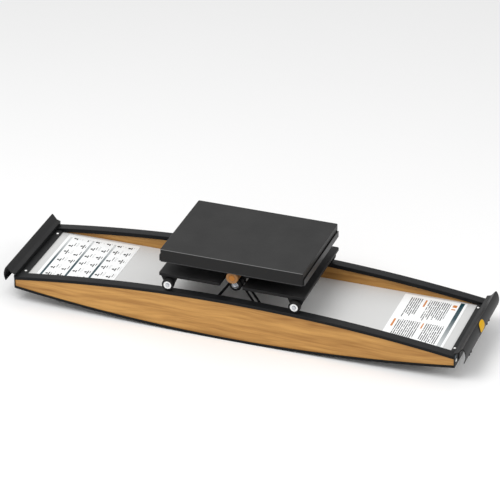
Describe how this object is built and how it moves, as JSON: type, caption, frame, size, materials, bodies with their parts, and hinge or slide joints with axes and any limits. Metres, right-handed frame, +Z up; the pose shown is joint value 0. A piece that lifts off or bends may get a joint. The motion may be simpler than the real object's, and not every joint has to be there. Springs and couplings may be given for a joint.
{
  "type": "ski simulator",
  "caption": "Slalom trainer: wooden base with lens-shaped sides and arched rails, a sprung wheeled carriage and a rocking foot platform.",
  "frame": {"origin": "on the floor under the middle of the base, at the lowest line of the curved bottom edges", "axes": "+X along the base, +Y from the front board to the rear board, +Z up"},
  "size_m": [1.3657, 0.333, 0.2465],
  "materials": {
    "wood": "oak-look laminate, satin",
    "rail": "dark blue-grey extruded edging",
    "deck": "pale grey lacquered sheet",
    "sheet_print": null,
    "black_steel": "black powder coat, fine texture",
    "screw_white": "white capped screw",
    "steel": "zinc plated, bright",
    "tyre": "black polyurethane tread on a pale hub",
    "pulley": "black moulded nylon",
    "roller": "amber polyurethane",
    "cord": "black braided elastic",
    "badge": "yellow, bare",
    "platform": "black satin powder coat",
    "plate": "black powder coat",
    "core": "plywood painted dark, almost hidden"
  },
  "bodies": {
    "base": {"front_side_board": "wood", "rear_side_board": "wood", "front_rail_cap": "rail", "rear_rail_cap": "rail", "front_bottom_strip": "rail", "rear_bottom_strip": "rail", "deck_sheet": "deck", "exercise_sheet": "sheet_print", "guide_sheet": "sheet_print", "left_end_plate": "black_steel", "right_end_plate": "black_steel", "left_end_bar": "black_steel", "right_end_bar": "black_steel", "left_end_hood": "black_steel", "right_end_hood": "black_steel", "left_cord_rail": "black_steel", "right_cord_rail": "black_steel", "left_anchor_rail": "black_steel", "right_anchor_rail": "black_steel", "left_front_bar_screw": "screw_white", "left_rear_bar_screw": "screw_white", "right_front_bar_screw": "screw_white", "right_rear_bar_screw": "screw_white", "left_front_plate_screw": "steel", "left_rear_plate_screw": "steel", "right_front_plate_screw": "steel", "right_rear_plate_screw": "steel", "end_badge": "badge", "front_outer_cord": "cord", "front_inner_cord": "cord", "rear_outer_cord": "cord", "rear_inner_cord": "cord"},
    "carriage": {"carriage_plate": "plate", "pivot_saddle": "black_steel", "pivot_shaft": "steel", "wheel_bracket_front_left": "black_steel", "wheel_bracket_front_right": "black_steel", "wheel_bracket_rear_left": "black_steel", "wheel_bracket_rear_right": "black_steel", "wheel_bolt_front_left": "steel", "wheel_bolt_front_right": "steel", "wheel_bolt_rear_left": "steel", "wheel_bolt_rear_right": "steel", "front_pulley_bolt": "steel", "rear_pulley_bolt": "steel", "front_pulley_hanger": "black_steel", "rear_pulley_hanger": "black_steel", "front_rocker_roller": "roller", "rear_rocker_roller": "roller"},
    "platform": {"platform_cover": "platform", "platform_tray": "platform", "platform_core": "core", "front_pivot_lug": "black_steel", "rear_pivot_lug": "black_steel"},
    "wheel_front_left": {"wheel_front_left": "tyre"},
    "wheel_front_right": {"wheel_front_right": "tyre"},
    "wheel_rear_left": {"wheel_rear_left": "tyre"},
    "wheel_rear_right": {"wheel_rear_right": "tyre"},
    "front_pulley": {"front_pulley": "pulley"},
    "rear_pulley": {"rear_pulley": "pulley"}
  },
  "joints": [
    {"name": "carriage_travel", "type": "hinge", "parent": "base", "child": "carriage", "pos_m": [0, 0, -4.52937], "axis": [0, 1, 0], "range_deg": [-5, 5], "stiffness_Nm_per_rad": 9000, "deforming": ["front_outer_cord", "front_inner_cord", "rear_outer_cord", "rear_inner_cord"]},
    {"name": "platform_tilt", "type": "hinge", "parent": "carriage", "child": "platform", "pos_m": [0, 0, 0.1898], "axis": [0, 1, 0], "range_deg": [-8, 8], "stiffness_Nm_per_rad": 60},
    {"name": "wheel_front_left_spin", "type": "hinge", "parent": "carriage", "child": "wheel_front_left", "pos_m": [-0.186, -0.1524, 0.1397], "axis": [0, 1, 0], "continuous": true},
    {"name": "wheel_front_right_spin", "type": "hinge", "parent": "carriage", "child": "wheel_front_right", "pos_m": [0.186, -0.1524, 0.1397], "axis": [0, 1, 0], "continuous": true},
    {"name": "wheel_rear_left_spin", "type": "hinge", "parent": "carriage", "child": "wheel_rear_left", "pos_m": [-0.186, 0.1524, 0.1397], "axis": [0, 1, 0], "continuous": true},
    {"name": "wheel_rear_right_spin", "type": "hinge", "parent": "carriage", "child": "wheel_rear_right", "pos_m": [0.186, 0.1524, 0.1397], "axis": [0, 1, 0], "continuous": true},
    {"name": "front_pulley_spin", "type": "hinge", "parent": "carriage", "child": "front_pulley", "pos_m": [0, -0.0985, 0.152], "axis": [0, 1, 0], "continuous": true},
    {"name": "rear_pulley_spin", "type": "hinge", "parent": "carriage", "child": "rear_pulley", "pos_m": [0, 0.0985, 0.152], "axis": [0, 1, 0], "continuous": true}
  ],
  "couplings": [
    {"joint": "wheel_front_left_spin", "follows": "carriage_travel", "ratio": 273.85},
    {"joint": "wheel_front_right_spin", "follows": "carriage_travel", "ratio": 273.85},
    {"joint": "wheel_rear_left_spin", "follows": "carriage_travel", "ratio": 273.85},
    {"joint": "wheel_rear_right_spin", "follows": "carriage_travel", "ratio": 273.85}
  ]
}
